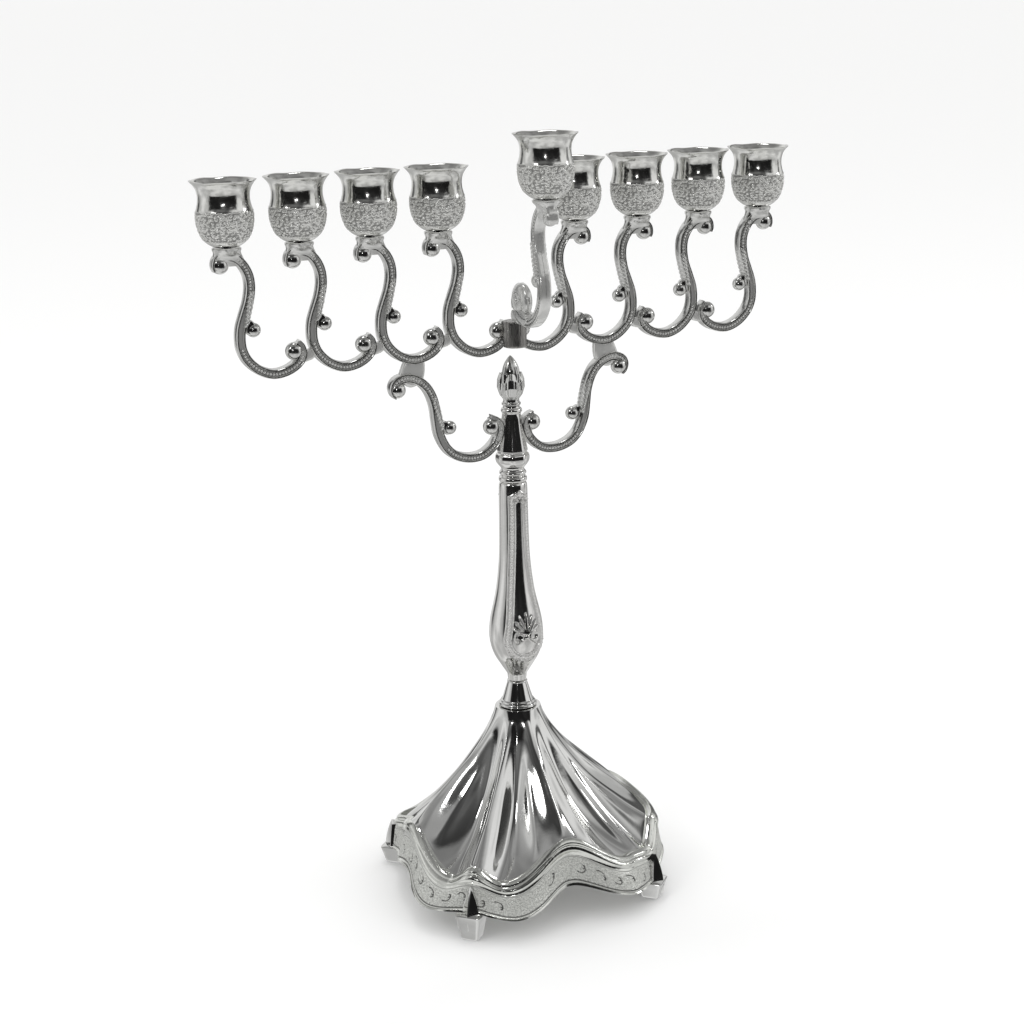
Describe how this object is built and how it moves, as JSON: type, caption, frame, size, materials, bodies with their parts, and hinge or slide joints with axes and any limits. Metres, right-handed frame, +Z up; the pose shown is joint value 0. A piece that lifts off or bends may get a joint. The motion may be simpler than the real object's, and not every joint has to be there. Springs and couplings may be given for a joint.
{
  "type": "menorah",
  "caption": "Table menorah: scroll arms in a row carry bell-shaped candle cups, a raised servant cup stands in front, on a slim stem and a draped square base.",
  "frame": {"origin": "middle of the base, on the plane that the feet stand on", "axes": "+Z up; the row of cups runs along X; the servant cup stands in front, towards -Y"},
  "size_m": [0.2244, 0.0988, 0.2794],
  "materials": {
    "base_plating": "polished plating",
    "column_plating": "polished plating with matte panels",
    "arm_plating": "satin plating, beaded and fluted",
    "cup_plating": "granulated plating with a polished lip",
    "steel": "plain zinc-plated steel"
  },
  "bodies": {
    "root": {"base_shell": "base_plating", "foot_front_right": "base_plating", "foot_back_right": "base_plating", "foot_back_left": "base_plating", "foot_front_left": "base_plating", "base_collar": "column_plating", "stem": "column_plating", "arm_hub": "column_plating", "finial": "column_plating", "tie_rod": "steel", "base_washer": "steel", "base_nut": "steel", "lower_arm_right": "arm_plating", "lower_arm_left": "arm_plating", "arm_right_1": "arm_plating", "arm_right_2": "arm_plating", "arm_right_3": "arm_plating", "arm_right_4": "arm_plating", "arm_left_1": "arm_plating", "arm_left_2": "arm_plating", "arm_left_3": "arm_plating", "arm_left_4": "arm_plating", "centre_hub": "arm_plating", "servant_arm": "arm_plating", "cup_right_1": "cup_plating", "cup_right_2": "cup_plating", "cup_right_3": "cup_plating", "cup_right_4": "cup_plating", "cup_left_1": "cup_plating", "cup_left_2": "cup_plating", "cup_left_3": "cup_plating", "cup_left_4": "cup_plating", "cup_servant": "cup_plating", "cup_screw_right_1": "steel", "cup_screw_right_2": "steel", "cup_screw_right_3": "steel", "cup_screw_right_4": "steel", "cup_screw_left_1": "steel", "cup_screw_left_2": "steel", "cup_screw_left_3": "steel", "cup_screw_left_4": "steel", "cup_screw_servant": "steel"}
  },
  "joints": []
}
